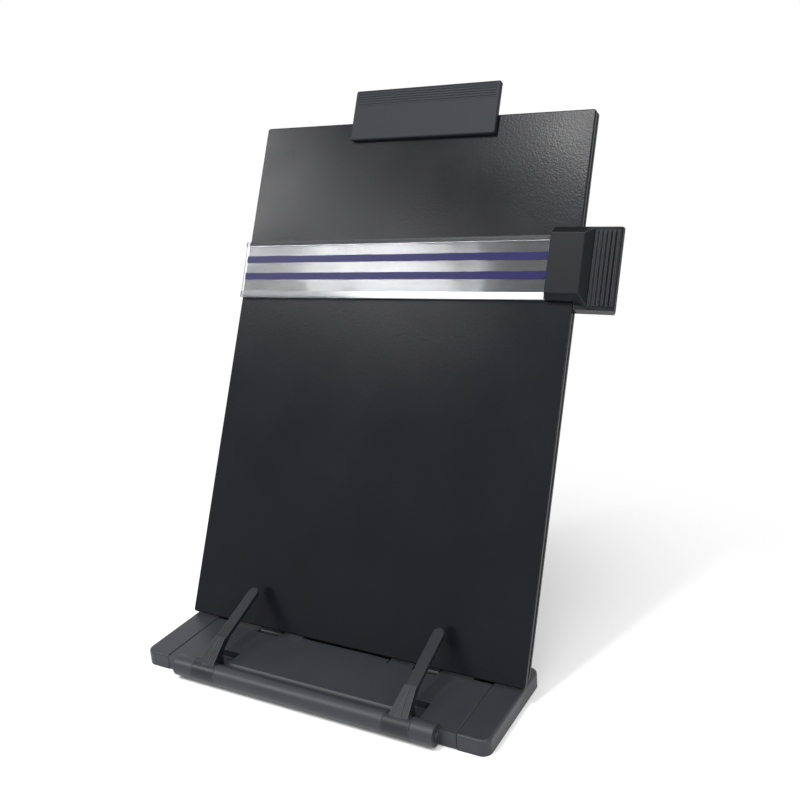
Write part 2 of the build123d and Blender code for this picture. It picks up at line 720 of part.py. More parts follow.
def page_arm(side):
    """A page holder: knuckle, wedge with a raised rib, thin finger and stop heel."""
    middle = Plane.YZ.offset(side * arm_mid_x)
    with BuildPart() as arm:
        with BuildSketch(middle):
            with BuildLine():
                Polyline(
                    barrel_at,
                    root_front,
                    wedge_top,
                    bend_top,
                    tip_top,
                    tip_low,
                    wedge_foot,
                    root_rear,
                    close=True,
                )
            make_face()
        extrude(amount=wedge_w / 2, both=True)
        # plan outline: the wedge narrows to the finger, whose tip is round
        tip_round_y = finger_tip[0] - finger_w / 2
        flare_y = wedge_top.X - wedge_step
        with BuildSketch(Plane(origin=(side * arm_mid_x, 0, 0))):
            with BuildLine():
                Polyline(
                    (finger_w / 2, tip_round_y),
                    (finger_w / 2, flare_y),
                    (wedge_w / 2, barrel_y),
                    (wedge_w / 2, barrel_y - barrel_r),
                    (-wedge_w / 2, barrel_y - barrel_r),
                    (-wedge_w / 2, barrel_y),
                    (-finger_w / 2, flare_y),
                    (-finger_w / 2, tip_round_y),
                )
                ThreePointArc(
                    (-finger_w / 2, tip_round_y), (0, finger_tip[0]), (finger_w / 2, tip_round_y)
                )
            make_face()
        extrude(amount=finger_tip[1] + finger_t * 2, mode=Mode.INTERSECT)
        # rounded edges along the finger and the wedge
        upward = Vector(0, finger_up.X, finger_up.Y)
        upward_faces = arm.faces().filter_by(lambda f: f.normal_at().dot(upward) > 0.999)
        finger_face = upward_faces.sort_by(SortBy.AREA)[-1]
        round_over = [e for e in finger_face.edges() if e.center().Y > wedge_top.X + arm_edge_r]
        fillet(round_over, arm_edge_r)
        # raised rib along the wedge, wider at its root
        slope = (wedge_top - root_front).normalized()
        slope_out = Vector(-slope.Y, slope.X)
        wedge_face = Plane(
            origin=(side * arm_mid_x, root_front.X, root_front.Y),
            x_dir=(0, slope.X, slope.Y),
            z_dir=(0, slope_out.X, slope_out.Y),
        )
        wedge_len = (wedge_top - root_front).length
        with BuildSketch(wedge_face):
            with BuildLine():
                Polyline(
                    (0, -arm_rib_w[1] / 2),
                    (wedge_len - arm_rib_w[0], -arm_rib_w[0] / 2),
                    (wedge_len - arm_rib_w[0], arm_rib_w[0] / 2),
                    (0, arm_rib_w[1] / 2),
                    close=True,
                )
            make_face()
        extrude(amount=arm_rib_h, taper=arm_rib_draft)
        # heel, which stops the arm on the pocket's floor
        with BuildSketch(middle):
            with BuildLine():
                Polyline(
                    (barrel_y + heel_root, heel_low_z),
                    (heel_y, heel_low_z),
                    (heel_y, barrel_z + barrel_r),
                    (barrel_y + heel_root, barrel_z + heel_root),
                    close=True,
                )
            make_face()
        extrude(amount=heel_w / 2, both=True)
        with BuildSketch(middle):
            with Locations(barrel):
                Circle(barrel_r)
        extrude(amount=arm_knuckle_w / 2, both=True)
        # recess for the spring's last turn, the slot for its leg, and the rod's bore
        with BuildSketch(Plane.YZ.offset(side * inner_knuckle_x)):
            with Locations(barrel):
                Circle(spring_bore_r)
            with Locations((barrel_y + arm_coil_r, barrel_z + arm_leg / 2 + arm_wire_r)):
                Rectangle(spring_slot_w, arm_leg + 2 * arm_wire_r)
        extrude(amount=side * arm_recess, mode=Mode.SUBTRACT)
        with BuildSketch(middle):
            with Locations(barrel):
                Circle(arm_rod_r + pin_run)
        extrude(amount=arm_knuckle_w, both=True, mode=Mode.SUBTRACT)
    return arm


for side, name in ((-1, "arm_left"), (1, "arm_right")):
    save(page_arm(side), name)

arm_coil = Plane(origin=(arm_coil_x, barrel_y, barrel_z), x_dir=(0, 1, 0), z_dir=(-1, 0, 0))
arm_spring_right = wound_spring(
    arm_coil, arm_coil_r, arm_wire_r, arm_coil_pitch, arm_coil_quarters, arm_leg, 2 * arm_wire_r
)
save(arm_spring_right, "arm_spring_right")

with BuildPart() as arm_spring_left:
    mirror(arm_spring_right.part, about=Plane.YZ)
save(arm_spring_left, "arm_spring_left")

# ---------------------------------------------------------------- prop leg
leg_mid = ((prop_y + foot_y(0)) / 2, (prop_z + pivot_z) / 2)
leg_dir = Vector(0, foot_y(0) - prop_y, pivot_z - prop_z).normalized()
with BuildPart() as prop_leg:
    with BuildSketch(Plane.YZ):
        with Locations((prop_y, prop_z), (foot_y(0), pivot_z)):
            Circle(prop_bar_t / 2)
        make_hull()
        with Locations((prop_y, prop_z)):
            Circle(prop_knuckle_r)
        with Locations((foot_y(0), pivot_z)):
            Circle(prop_foot_r)
    extrude(amount=prop_w / 2, both=True)
    with BuildSketch(Plane(origin=(0, *leg_mid), x_dir=(1, 0, 0), z_dir=leg_dir.cross(Vector(1, 0, 0)))):
        for k in range(prop_windows):
            with Locations((0, (k - (prop_windows - 1) / 2) * prop_window_pitch)):
                RectangleRounded(prop_window_w, prop_window_h, prop_bar_t / 2)
    extrude(amount=prop_bar_t, both=True, mode=Mode.SUBTRACT)
    with BuildSketch(Plane.YZ):
        with Locations((prop_y, prop_z)):
            Circle(prop_pin_r + pin_run)
        with Locations((foot_y(0), pivot_z)):
            Circle(foot_rod_r + pin_fit)
    extrude(amount=prop_w, both=True, mode=Mode.SUBTRACT)
save(prop_leg, "prop_leg")

with BuildPart() as prop_pin:
    with BuildSketch(Plane.YZ):
        with Locations((prop_y, prop_z)):
            Circle(prop_pin_r)
    extrude(amount=prop_w / 2 + ear_gap + prop_ear_t + ear_gap, both=True)
save(prop_pin, "prop_pin")

with BuildPart() as foot_rod:
    with BuildSketch(Plane.YZ):
        with Locations((foot_y(0), pivot_z)):
            Circle(foot_rod_r)
    extrude(amount=prop_w / 2 + foot_rod_reach, both=True)
save(foot_rod, "foot_rod")

# ---------------------------------------------------------------- clip
clip_coil_len = clip_coil_pitch * clip_coil_quarters / 4
clip_h = clip_high - clip_low
clip_mid_up = (clip_low + clip_high) / 2
lines_h = clip_lines * clip_line_pitch + clip_line_top
with BuildPart() as clip_plate:
    with BuildSketch(face.offset(clip_back_n)):
        with Locations((clip_mid_x, clip_mid_up)):
            RectangleRounded(clip_w, clip_h, clip_corner)
    extrude(amount=clip_front_n - clip_back_n)
    fillet(clip_plate.faces().sort_by(Axis((0, 0, 0), out_dir))[-1].edges(), clip_edge_r)
    # hollow behind, with a deeper rim along the foot
    with BuildSketch(face.offset(clip_back_n)):
        with Locations((clip_mid_x, clip_mid_up + (clip_foot_rim - clip_rim) / 2)):
            Rectangle(clip_w - 2 * clip_rim, clip_h - clip_foot_rim - clip_rim)
    extrude(amount=clip_front_n - clip_back_n - clip_shell_t, mode=Mode.SUBTRACT)
    # grip lines and the sunk field below them
    with BuildSketch(face.offset(clip_front_n)):
        for k in range(clip_lines):
            with Locations((clip_mid_x, clip_high - clip_line_top - (k + 0.5) * clip_line_pitch)):
                Rectangle(clip_w - 2 * clip_rim, clip_line_w)
    extrude(amount=-clip_line_depth, mode=Mode.SUBTRACT)
    with BuildSketch(face.offset(clip_front_n)):
        with Locations((clip_mid_x, clip_mid_up + (clip_rim - lines_h) / 2)):
            Rectangle(clip_w - 2 * clip_rim, clip_h - lines_h - clip_rim)
    extrude(amount=-clip_field_depth, mode=Mode.SUBTRACT)
    # rib that the spring's upper leg bears on
    leg_front_n = clip_pin_n + clip_coil_r + clip_wire_r
    with BuildSketch(face.offset(leg_front_n + seat_gap)):
        with Locations((clip_mid_x - clip_coil_len / 2, clip_pin_up + clip_leg_up - clip_stop_h)):
            Rectangle(2 * clip_stop_h, clip_stop_h)
    extrude(amount=clip_front_n - clip_shell_t - leg_front_n)
    for side in (-1, 1):
        with BuildSketch(side_plane(clip_mid_x + side * clip_lug_x)):
            with Locations((clip_pin_up, clip_pin_n)):
                Circle(clip_lug_r)
            with Locations((clip_pin_up, clip_front_n - clip_shell_t)):
                Rectangle(2 * clip_lug_r, clip_lug_root_t)
            make_hull()
            with Locations((clip_pin_up, clip_pin_n)):
                Circle(clip_pin_r + pin_run, mode=Mode.SUBTRACT)
        extrude(amount=clip_lug_t / 2, both=True)
save(clip_plate, "clip_plate")

with BuildPart() as clip_pin:
    with BuildSketch(side_plane(clip_mid_x)):
        with Locations((clip_pin_up, clip_pin_n)):
            Circle(clip_pin_r)
    extrude(amount=clip_lug_x + clip_lug_t / 2 + 2 * ear_gap + clip_ear_t, both=True)
save(clip_pin, "clip_pin")

with BuildPart() as clip_pad:
    with BuildSketch(face.offset(clip_pad_gap)):
        with Locations((clip_mid_x, clip_low + clip_pad_h / 2 + clip_edge_r)):
            Rectangle(clip_w - 2 * clip_pad_inset, clip_pad_h)
    extrude(amount=clip_back_n - clip_pad_gap)
save(clip_pad, "clip_pad")

clip_coil = Plane(
    origin=face.from_local_coords((clip_mid_x - clip_coil_len / 2, clip_pin_up, clip_pin_n)),
    x_dir=out_dir,
    z_dir=(1, 0, 0),
)
clip_spring = wound_spring(
    clip_coil, clip_coil_r, clip_wire_r, clip_coil_pitch, clip_coil_quarters, clip_leg_up, clip_leg_down
)
save(clip_spring, "clip_spring")

# ---------------------------------------------------------------- line guide
# All of it is drawn from the middle of its socket, on a face that droops with it.
with BuildPart() as guide_strip:
    with BuildSketch(guide_face.offset(guide_n)):
        with Locations(((guide_socket / 2 - guide_len) / 2, guide_foot + guide_h / 2)):
            Rectangle(guide_len + guide_socket / 2, guide_h)
        with Locations(*peg_spots):
            Circle(peg_r + peg_clear, mode=Mode.SUBTRACT)
    extrude(amount=guide_t)
    # sloping bead along its top
    guide_end = guide_face.from_local_coords((-guide_len, guide_top, guide_n + guide_t))
    with BuildSketch(Plane(origin=guide_end, x_dir=guide_face.y_dir, z_dir=guide_along)):
        with BuildLine():
            Polyline(
                (0, 0),
                (-guide_flange_h, 0),
                (-guide_flange_h, guide_flange_out[0]),
                (0, guide_flange_out[1]),
                close=True,
            )
        make_face()
    extrude(amount=guide_show)
save(guide_strip, "guide_strip")

with BuildPart() as guide_stripes:
    with BuildSketch(guide_face.offset(guide_n + guide_t)):
        stripe_w = guide_show - stripe_inset
        for up in stripe_ups:
            with Locations((stripe_inset + stripe_w / 2 - guide_len, guide_foot + up)):
                Rectangle(stripe_w, stripe_h)
    extrude(amount=stripe_t)
save(guide_stripes, "guide_stripes")

with BuildPart() as guide_lip:
    with BuildSketch(guide_face.offset(guide_n - lip_wall)):
        with Locations((guide_show / 2 - guide_len, guide_foot - lip_sink + lip_h / 2)):
            Rectangle(guide_show, lip_h)
    extrude(amount=guide_t + 2 * lip_wall)
    with BuildSketch(guide_face.offset(guide_n)):
        with Locations((guide_show / 2 - guide_len, guide_foot + lip_h / 2)):
            Rectangle(guide_show, lip_h)
    extrude(amount=guide_t, mode=Mode.SUBTRACT)
save(guide_lip, "guide_lip")

# ---------------------------------------------------------------- slider
grip_mid_x = (slider_slope_x + slider_right_x - slider_corner) / 2
with BuildPart() as slider_front:
    with BuildSketch(cross_plane(slider_high)) as profile:
        with BuildLine():
            Polyline(
                (slider_left_x, slider_clear),
                (slider_left_x, slider_front_n),
                (slider_face_x, slider_front_n),
                (slider_slope_x, slider_grip_n),
                (slider_right_x - slider_corner, slider_grip_n - slider_grip_fall),
                (slider_right_x, slider_grip_n - slider_grip_fall - slider_corner),
                (slider_right_x, slider_split_n),
                (slider_edge_x, slider_split_n),
                (slider_edge_x, slider_clear),
                close=True,
            )
        make_face()
        fillet(profile.vertices().filter_by(lambda v: v.Y > slider_clear), slider_edge_r)
    extrude(amount=slider_h)
    # thumb ribs
    with BuildSketch(face.offset(slider_grip_n - slider_grip_fall)):
        for k in range(grip_ribs):
            rib_x = grip_mid_x + (k - (grip_ribs - 1) / 2) * grip_rib_pitch
            with Locations((rib_x, slider_mid)):
                Rectangle(grip_rib_w, slider_h - slider_chamfer_up)
    extrude(amount=slider_grip_fall + grip_rib_h)
    # sloping top and bottom
    with BuildSketch(side_plane(slider_left_x)):
        with BuildLine():
            Polyline(
                (slider_high - slider_chamfer_up, slider_front_n + cut_over),
                (slider_high - slider_chamfer_up, slider_front_n),
                (slider_high, slider_grip_n - slider_grip_fall),
                (slider_high + cut_over, slider_grip_n - slider_grip_fall),
                (slider_high + cut_over, slider_front_n + cut_over),
                close=True,
            )
        make_face()
        with BuildLine():
            Polyline(
                (slider_low + slider_chamfer_low, slider_front_n + cut_over),
                (slider_low + slider_chamfer_low, slider_front_n),
                (slider_low, slider_grip_n - slider_grip_fall),
                (slider_low - cut_over, slider_grip_n - slider_grip_fall),
                (slider_low - cut_over, slider_front_n + cut_over),
                close=True,
            )
        make_face()
    extrude(amount=slider_right_x - slider_left_x, mode=Mode.SUBTRACT)
    # the block's foot, cut away above the grip's
    with BuildSketch(face.offset(slider_clear)):
        with BuildLine():
            Polyline(
                (slider_left_x - cut_over, slider_low - cut_over),
                (slider_slope_x, slider_low - cut_over),
                (slider_slope_x, slider_low),
                (slider_face_x, slider_low + slider_step),
                (slider_left_x - cut_over, slider_low + slider_step),
                close=True,
            )
        make_face()
    extrude(amount=slider_front_n, mode=Mode.SUBTRACT)
    # socket for the strip, with the pegs that hold it
    with BuildSketch(guide_face.offset(guide_n - seat_gap)):
        with Locations((-guide_socket, guide_foot + guide_h / 2)):
            Rectangle(3 * guide_socket + 2 * seat_gap, guide_h + 2 * head_clear)
        with Locations(*peg_spots):
            Circle(peg_r, mode=Mode.SUBTRACT)
    extrude(amount=guide_t + 2 * seat_gap, mode=Mode.SUBTRACT)
    # hollow of the grip, round the two screw bosses
    with BuildSketch(face.offset(slider_split_n)):
        with Locations(((slider_edge_x + slider_right_x) / 2, slider_mid)):
            Rectangle(slider_right_x - slider_edge_x - 2 * slider_wall, slider_h - 2 * slider_wall)
        with Locations(*slider_screw_spots):
            Circle(slider_boss_r, mode=Mode.SUBTRACT)
    extrude(amount=slider_wall, mode=Mode.SUBTRACT)
    with BuildSketch(face.offset(slider_split_n)):
        with Locations(*slider_screw_spots):
            Circle(slider_shank_r + thread_clear)
    extrude(amount=slider_wall + head_clear, mode=Mode.SUBTRACT)
save(slider_front, "slider_front")

leaf_mid_x = panel_right - groove_depth - leaf_w / 2
with BuildPart() as slider_back:
    with BuildSketch(cross_plane(slider_high)):
        tongue_x = slider_edge_x - groove_depth + tongue_clear
        tongue_low_n = -sheet_t - groove_t + tongue_clear
        back_inner_n = -panel_t - slider_clear
        with BuildLine():
            Polyline(
                (tongue_x, slider_split_n),
                (slider_right_x, slider_split_n),
                (slider_right_x - slider_taper, slider_rear_n),
                (panel_right - slider_back_arm, slider_rear_n),
                (panel_right - slider_back_arm, back_inner_n),
                (slider_edge_x, back_inner_n),
                (slider_edge_x, tongue_low_n),
                (tongue_x, tongue_low_n),
                close=True,
            )
        make_face()
    extrude(amount=slider_h)
    # hollow, round the screw bosses
    with BuildSketch(face.offset(slider_split_n)):
        with Locations(((slider_edge_x + slider_right_x - slider_taper) / 2, slider_mid)):
            Rectangle(slider_right_x - slider_edge_x - slider_taper - 2 * slider_wall, slider_h - 2 * slider_wall)
        with Locations(*slider_screw_spots):
            Circle(slider_boss_r, mode=Mode.SUBTRACT)
    extrude(amount=slider_rear_n + slider_wall - slider_split_n, mode=Mode.SUBTRACT)
    # pocket for the leaf
    with BuildSketch(face.offset(back_inner_n)):
        with Locations((leaf_mid_x, slider_mid)):
            Rectangle(leaf_w + 2 * lug_gap, leaf_len + 2 * lug_gap)
    extrude(amount=-leaf_pocket_depth, mode=Mode.SUBTRACT)
    # screw holes, counterbored from behind
    with BuildSketch(face.offset(slider_rear_n)):
        with Locations(*slider_screw_spots):
            Circle(slider_head_r + head_clear)
    extrude(amount=slider_head_h, mode=Mode.SUBTRACT)
    with BuildSketch(face.offset(slider_rear_n)):
        with Locations(*slider_screw_spots):
            Circle(slider_shank_r + screw_hole_clear)
    extrude(amount=slider_split_n - slider_rear_n, mode=Mode.SUBTRACT)
save(slider_back, "slider_back")

slider_seats = [
    Plane(
        origin=face.from_local_coords((x, up, slider_rear_n + slider_head_h)),
        x_dir=(1, 0, 0),
        z_dir=-out_dir,
    )
    for x, up in slider_screw_spots
]
slider_screws = screw_group(slider_seats, slider_head_r, slider_head_h, slider_shank_r, slider_shank_len)
save(slider_screws, "slider_screws")

with BuildPart() as slider_leaf:
    leaf_foot_n = back_inner_n - leaf_pocket_depth + seat_gap
    leaf_low = slider_mid - leaf_len / 2
    leaf_high = slider_mid + leaf_len / 2
    with BuildSketch(side_plane(leaf_mid_x)):
        with BuildLine():
            ThreePointArc(
                (leaf_low, leaf_foot_n), (slider_mid, leaf_foot_n + leaf_rise), (leaf_high, leaf_foot_n)
            )
            Line((leaf_high, leaf_foot_n), (leaf_high, leaf_foot_n + leaf_t))
            ThreePointArc(
                (leaf_high, leaf_foot_n + leaf_t),
                (slider_mid, leaf_foot_n + leaf_rise + leaf_t),
                (leaf_low, leaf_foot_n + leaf_t),
            )
            Line((leaf_low, leaf_foot_n + leaf_t), (leaf_low, leaf_foot_n))
        make_face()
    extrude(amount=leaf_w / 2, both=True)
save(slider_leaf, "slider_leaf")

print(f"pivot y {pivot_y} z {pivot_z}, prop hinge y {prop_y:.3f} z {prop_z:.3f}")
print(f"foot y at rest {foot_y(0):.3f}, from {notch_ys[0]:.3f} to {notch_ys[-1]:.3f}")
clip_axis = face.from_local_coords((clip_mid_x, clip_pin_up, clip_pin_n))
print(f"clip axis y {clip_axis.Y:.3f} z {clip_axis.Z:.3f}, barrel y {barrel_y} z {barrel_z}")
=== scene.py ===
import math

import bmesh
import bpy
from mathutils import Matrix, Vector

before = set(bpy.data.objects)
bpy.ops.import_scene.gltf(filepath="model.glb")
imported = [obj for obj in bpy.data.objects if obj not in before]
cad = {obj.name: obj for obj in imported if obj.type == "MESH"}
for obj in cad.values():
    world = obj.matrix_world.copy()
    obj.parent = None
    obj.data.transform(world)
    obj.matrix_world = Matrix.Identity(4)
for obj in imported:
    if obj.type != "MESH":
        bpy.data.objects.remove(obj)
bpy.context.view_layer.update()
MM = 0.001

# ---------------------------------------------------------------- camera
# Solved from the corners of the panel, the base and its seams.
IMAGE_PX = 800
FOCAL_PX = 981.58
CENTRE_PX = (389.93, 387.46)
SENSOR_MM = 36.0
camera_at = Vector((269.555, -388.595, 294.983)) * MM
camera_right = Vector((0.871634, 0.484576, -0.073755))
camera_up = Vector((-0.077000, 0.283972, 0.955736))
camera_back = camera_right.cross(camera_up)

camera_data = bpy.data.cameras.new("camera")
camera_data.sensor_width = SENSOR_MM
camera_data.lens = FOCAL_PX / IMAGE_PX * SENSOR_MM
camera_data.shift_x = (IMAGE_PX / 2 - CENTRE_PX[0]) / IMAGE_PX
camera_data.shift_y = (CENTRE_PX[1] - IMAGE_PX / 2) / IMAGE_PX
camera_data.clip_start = 0.01
camera_data.dof.use_dof = False
camera = bpy.data.objects.new("camera", camera_data)
bpy.context.scene.collection.objects.link(camera)
turn = Matrix((camera_right, camera_up, camera_back)).transposed()
camera.matrix_world = Matrix.Translation(camera_at) @ turn.to_4x4()
bpy.context.scene.camera = camera

bpy.context.scene.view_settings.view_transform = "Standard"

# ---------------------------------------------------------------- materials
# A Mix node's sockets for colours: those for numbers and vectors have the same names.
MIX_SHARE, MIX_FROM, MIX_TO = 0, 6, 7
MIXED = 2
NOISE_LOW, NOISE_HIGH = 0.3, 0.7  # most of a noise lies between these


def linear(code):
    """An sRGB hex colour as linear red, green, blue and alpha."""
    channels = [int(code[k : k + 2], 16) / 255 for k in (1, 3, 5)]
    return [c / 12.92 if c <= 0.04045 else ((c + 0.055) / 1.055) ** 2.4 for c in channels] + [1.0]


def add(tree, kind, settings=(), links=()):
    """Add a node, set its fields or sockets, and feed its sockets from other nodes' outputs."""
    made = tree.nodes.new("ShaderNode" + kind)
    for name, value in dict(settings).items():
        if isinstance(name, int) or name in made.inputs:
            made.inputs[name].default_value = value
        else:
            setattr(made, name, value)
    for name, source in dict(links).items():
        tree.links.new(source, made.inputs[name])
    return made


def new_material(name):
    """A material with no nodes yet, and its node tree."""
    material = bpy.data.materials.new(name)
    material.use_nodes = True
    material.node_tree.nodes.clear()
    return material, material.node_tree


def moulded_abs(name, colours, rough, specular, grain_mm, grain_depth_mm, edge_mm=0.35):
    """Injection-moulded ABS: a fine even grain from the etched tool and a faint drift in tone,
    with edges that are slightly rounded, so that they catch a line of light, and painted paler:
    partly rubbed wear and partly a painted highlight, on hollow edges as well as corners."""
    dark, light, worn_and_highlight = colours
    patch_mm = 45.0
    rub_and_highlight_starts, rub_and_highlight_full = 0.99, 0.8  # cosine of the rounded edge's turn from its face
    most_rubbed_and_highlit = 0.55
    pits_per_grain = 0.7
    pit_height = 0.6  # as a share of the grain's
    shinier, duller = 0.04, 0.05

    material, tree = new_material(name)
    edge = add(tree, "Bevel", {"samples": 6, "Radius": edge_mm * MM})
    shape = add(tree, "NewGeometry")
    turned = add(
        tree,
        "VectorMath",
        {"operation": "DOT_PRODUCT"},
        {0: edge.outputs[0], 1: shape.outputs["Normal"]},
    )
    rubbed_and_highlit = add(
        tree,
        "MapRange",
        {"From Min": rub_and_highlight_starts, "From Max": rub_and_highlight_full, "To Min": 0.0, "To Max": most_rubbed_and_highlit},
        {"Value": turned.outputs["Value"]},
    )
    place = add(tree, "TexCoord").outputs["Object"]
    drift = add(tree, "TexNoise", {"Scale": 1 / (patch_mm * MM), "Detail": 3.0}, {"Vector": place})
    grain = add(
        tree,
        "TexNoise",
        {"Scale": 1 / (grain_mm * MM), "Detail": 2.0, "Roughness": 0.6},
        {"Vector": place},
    )
    pits = add(tree, "TexVoronoi", {"Scale": pits_per_grain / (grain_mm * MM)}, {"Vector": place})
    tone = add(
        tree,
        "Mix",
        {"data_type": "RGBA", MIX_FROM: linear(dark), MIX_TO: linear(light)},
        {MIX_SHARE: drift.outputs["Fac"]},
    )
    # The paler edge colour is partly rubbed wear and partly a painted highlight, laid on every
    # turned edge.
    edge_tone = add(
        tree,
        "Mix",
        {"data_type": "RGBA", MIX_TO: linear(worn_and_highlight)},
        {MIX_SHARE: rubbed_and_highlit.outputs[0], MIX_FROM: tone.outputs[MIXED]},
    )
    relief = add(
        tree,
        "Math",
        {"operation": "MULTIPLY_ADD", 1: pit_height},
        {0: pits.outputs["Distance"], 2: grain.outputs["Fac"]},
    )
    bump = add(
        tree,
        "Bump",
        {"Strength": 0.55, "Distance": grain_depth_mm * MM},
        {"Height": relief.outputs[0], "Normal": edge.outputs[0]},
    )
    polish = add(
        tree,
        "MapRange",
        {
            "From Min": NOISE_LOW,
            "From Max": NOISE_HIGH,
            "To Min": rough - shinier,
            "To Max": rough + duller,
        },
        {"Value": drift.outputs["Fac"]},
    )
    shader = add(
        tree,
        "BsdfPrincipled",
        {"IOR": 1.54, "Specular IOR Level": specular},
        {
            "Base Color": edge_tone.outputs[MIXED],
            "Roughness": polish.outputs[0],
            "Normal": bump.outputs[0],
        },
    )
    add(tree, "OutputMaterial", {}, {"Surface": shader.outputs[0]})
    return material


def turned_steel(name, shade, rough, line_mm):
    """Steel, turned or drawn and then plated or blackened: fine lines at their real spacing, round
    the rods and coils that lie along X, that spread its highlights."""
    line_length = 12.0  # in widths of a line
    shinier, duller = 0.06, 0.08

    material, tree = new_material(name)
    place = add(tree, "TexCoord").outputs["Object"]
    lined = add(tree, "Mapping", {"Scale": (line_length, 1.0, 1.0)}, {"Vector": place})
    lines = add(
        tree,
        "TexNoise",
        {"Scale": 1 / (line_mm * MM * line_length), "Detail": 2.0},
        {"Vector": lined.outputs[0]},
    )
    bump = add(
        tree, "Bump", {"Strength": 0.3, "Distance": 0.01 * MM}, {"Height": lines.outputs["Fac"]}
    )
    polish = add(
        tree,
        "MapRange",
        {"To Min": rough - shinier, "To Max": rough + duller},
        {"Value": lines.outputs["Fac"]},
    )
    shader = add(
        tree,
        "BsdfPrincipled",
        {"Base Color": linear(shade), "Metallic": 1.0},
        {"Roughness": polish.outputs[0], "Normal": bump.outputs[0]},
    )
    add(tree, "OutputMaterial", {}, {"Surface": shader.outputs[0]})
    return material


def moulded_rubber(name, shade):
    """Moulded rubber: matt and a little dusty, so that it shows no clear highlight."""
    dusty = "#2b2b2b"
    dust_mm = 1.2

    material, tree = new_material(name)
    place = add(tree, "TexCoord").outputs["Object"]
    dust = add(tree, "TexNoise", {"Scale": 1 / (dust_mm * MM), "Detail": 4.0}, {"Vector": place})
    tone = add(
        tree,
        "Mix",
        {"data_type": "RGBA", MIX_FROM: linear(shade), MIX_TO: linear(dusty)},
        {MIX_SHARE: dust.outputs["Fac"]},
    )
    bump = add(
        tree, "Bump", {"Strength": 0.4, "Distance": 0.03 * MM}, {"Height": dust.outputs["Fac"]}
    )
    shader = add(
        tree,
        "BsdfPrincipled",
        {"IOR": 1.52, "Roughness": 0.85},
        {"Base Color": tone.outputs[MIXED], "Normal": bump.outputs[0]},
    )
    add(tree, "OutputMaterial", {}, {"Surface": shader.outputs[0]})
    return material


def extruded_clear_pvc():
    """Clear extruded PVC: polished, with long shallow draw lines that make its glare waver."""
    line_mm = 2.2
    line_stretch = 0.06  # the lines' width over their length
    wave_mm = 30
    line_height = 0.09  # as a share of the wave's

    material, tree = new_material("extruded_clear_pvc")
    place = add(tree, "TexCoord").outputs["Object"]
    along = add(tree, "Mapping", {"Scale": (line_stretch, 1.0, 1.0)}, {"Vector": place})
    lines = add(
        tree,
        "TexNoise",
        {"Scale": 1 / (line_mm * MM), "Detail": 3.0},
        {"Vector": along.outputs[0]},
    )
    wave = add(tree, "TexNoise", {"Scale": 1 / (wave_mm * MM), "Detail": 1.0}, {"Vector": place})
    waver = add(
        tree,
        "Math",
        {"operation": "MULTIPLY_ADD", 1: line_height},
        {0: lines.outputs["Fac"], 2: wave.outputs["Fac"]},
    )
    bump = add(tree, "Bump", {"Strength": 0.6, "Distance": 0.6 * MM}, {"Height": waver.outputs[0]})
    shader = add(
        tree,
        "BsdfPrincipled",
        {
            "Base Color": linear("#e8ebf0"),
            "IOR": 1.53,
            "Roughness": 0.14,
            "Specular IOR Level": 0.3,
            "Transmission Weight": 1.0,
        },
        {"Normal": bump.outputs[0]},
    )
    add(tree, "OutputMaterial", {}, {"Surface": shader.outputs[0]})
    return material


def screen_printed_blue():
    """Screen-printed ink: a thin, slightly mottled film, duller than the clear strip round it, so
    that the stripes stay blue where the strip glares."""
    deep, pale = "#070538", "#14104c"
    mottle_mm = 2.5

    material, tree = new_material("screen_printed_blue")
    place = add(tree, "TexCoord").outputs["Object"]
    mottle = add(tree, "TexNoise", {"Scale": 1 / (mottle_mm * MM), "Detail": 4.0}, {"Vector": place})
    tone = add(
        tree,
        "Mix",
        {"data_type": "RGBA", MIX_FROM: linear(deep), MIX_TO: linear(pale)},
        {MIX_SHARE: mottle.outputs["Fac"]},
    )
    bump = add(
        tree, "Bump", {"Strength": 0.25, "Distance": 0.02 * MM}, {"Height": mottle.outputs["Fac"]}
    )
    shader = add(
        tree,
        "BsdfPrincipled",
        {"IOR": 1.5, "Roughness": 0.3, "Specular IOR Level": 0.16},
        {"Base Color": tone.outputs[MIXED], "Normal": bump.outputs[0]},
    )
    add(tree, "OutputMaterial", {}, {"Surface": shader.outputs[0]})
    return material


def extruded_pvc_lip_painted_glint():
    """The strip's folded lower lip: PVC with faint lines drawn along it by the die. It is clear
    towards its left end and milky white towards its right end, where the white is a painted glint."""
    grey, white = "#e2e4e8", "#f3f4f6"
    line_mm = 0.8
    line_stretch = 0.03  # the lines' width over their length
    clear_left_mm, glint_right_mm = -46.0, 20.0

    material, tree = new_material("extruded_pvc_lip_painted_glint")
    place = add(tree, "TexCoord").outputs["Object"]
    along = add(tree, "Mapping", {"Scale": (line_stretch, 1.0, 1.0)}, {"Vector": place})
    lines = add(
        tree,
        "TexNoise",
        {"Scale": 1 / (line_mm * MM), "Detail": 2.0},
        {"Vector": along.outputs[0]},
    )
    tone = add(
        tree,
        "Mix",
        {"data_type": "RGBA", MIX_FROM: linear(grey), MIX_TO: linear(white)},
        {MIX_SHARE: lines.outputs["Fac"]},
    )
    bump = add(
        tree, "Bump", {"Strength": 0.3, "Distance": 0.03 * MM}, {"Height": lines.outputs["Fac"]}
    )
    # This mask paints in a glint: the lip goes from clear at its left end to white at its right end.
    across = add(tree, "SeparateXYZ", {}, {0: place})
    clear = add(
        tree,
        "MapRange",
        {
            "interpolation_type": "SMOOTHSTEP",
            "From Min": clear_left_mm * MM,
            "From Max": glint_right_mm * MM,
            "To Min": 1.0,
            "To Max": 0.0,
        },
        {"Value": across.outputs["X"]},
    )
    shader = add(
        tree,
        "BsdfPrincipled",
        {"IOR": 1.53, "Roughness": 0.2},
        {
            "Base Color": tone.outputs[MIXED],
            "Normal": bump.outputs[0],
            "Transmission Weight": clear.outputs[0],
        },
    )
    add(tree, "OutputMaterial", {}, {"Surface": shader.outputs[0]})
    return material
